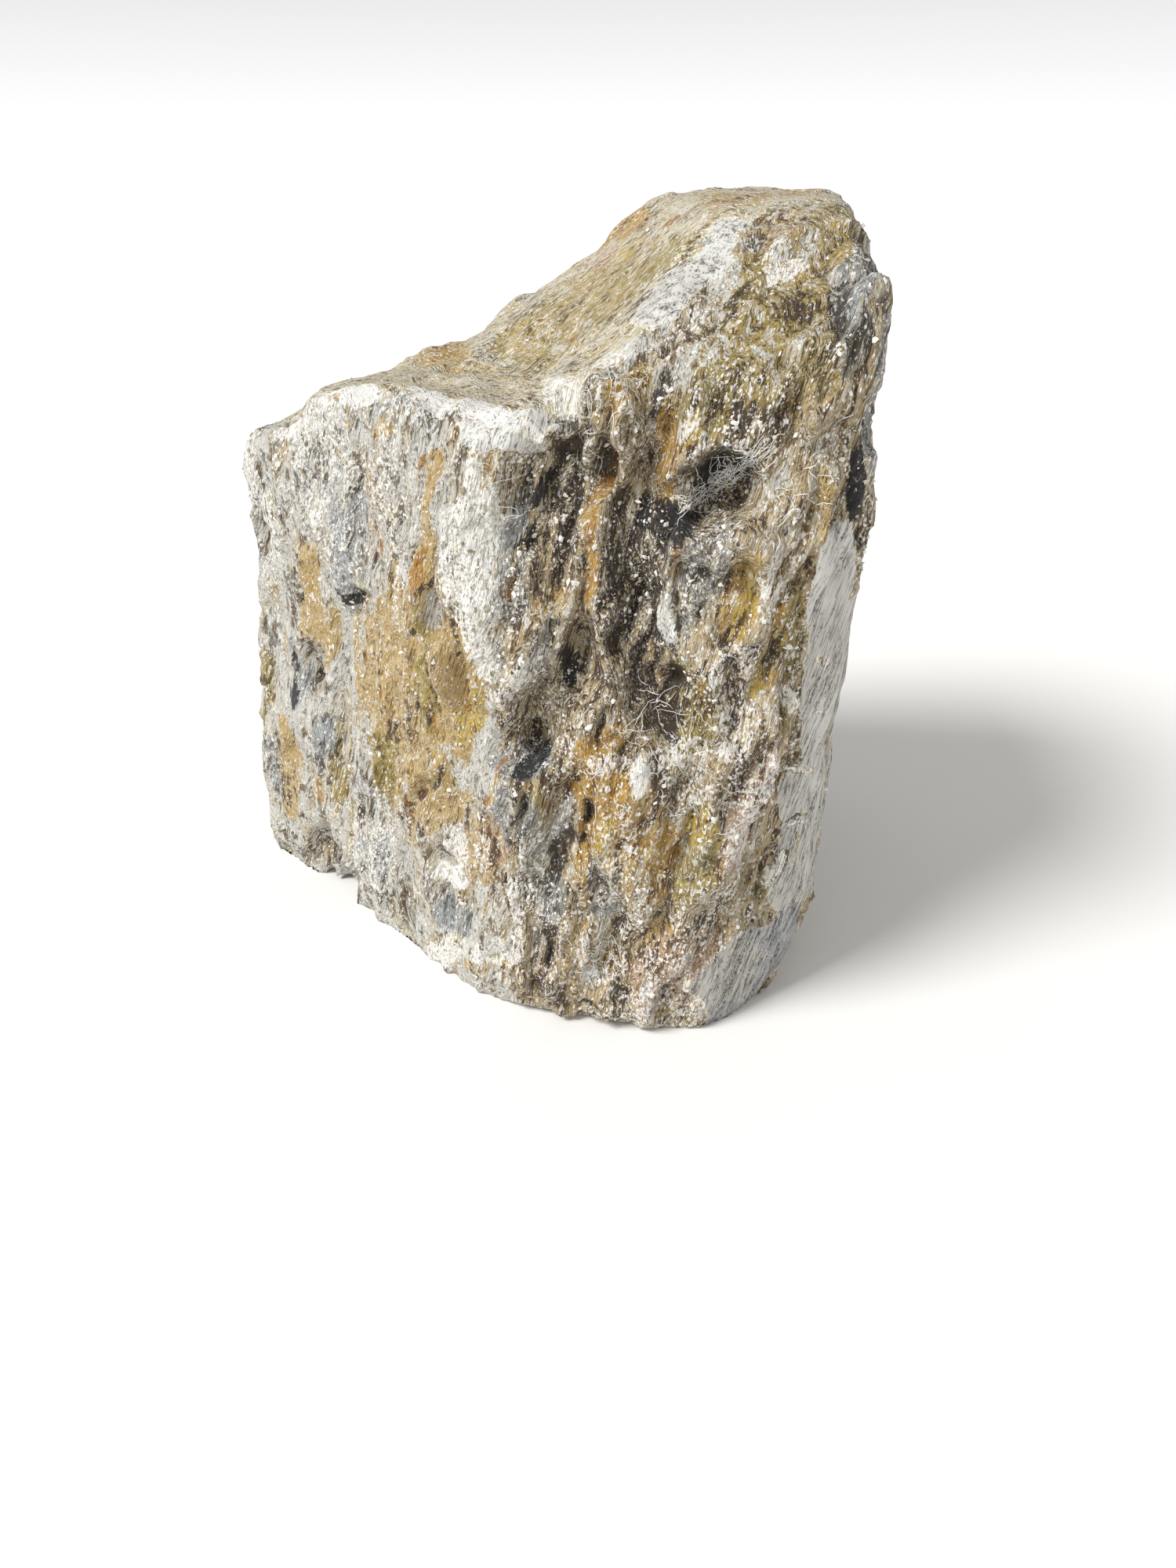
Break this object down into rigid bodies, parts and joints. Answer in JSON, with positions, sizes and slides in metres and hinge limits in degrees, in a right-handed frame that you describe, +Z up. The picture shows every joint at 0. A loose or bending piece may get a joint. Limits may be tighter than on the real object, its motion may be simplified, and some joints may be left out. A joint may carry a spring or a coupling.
{
  "type": "raw soapstone block",
  "caption": "Raw lump of schistose soapstone with a hollowed, sloping top, a high corner and a flat base, kept as a carving block or a specimen.",
  "frame": {"origin": "on the flat base, under the middle of the block's box", "axes": "+Z up from the resting face, which is also the longest extent; -Y is the rough front with the crevice and pockets, and +X is the side of the high corner"},
  "size_m": [0.1798, 0.1698, 0.2062],
  "materials": {
    "soapstone": "raw split talc schist: warm grey with ochre and rust staining, dark hollows, white crushed edges and grey-blue scraped patches"
  },
  "bodies": {
    "root": {"soapstone_block": "soapstone"}
  },
  "joints": []
}
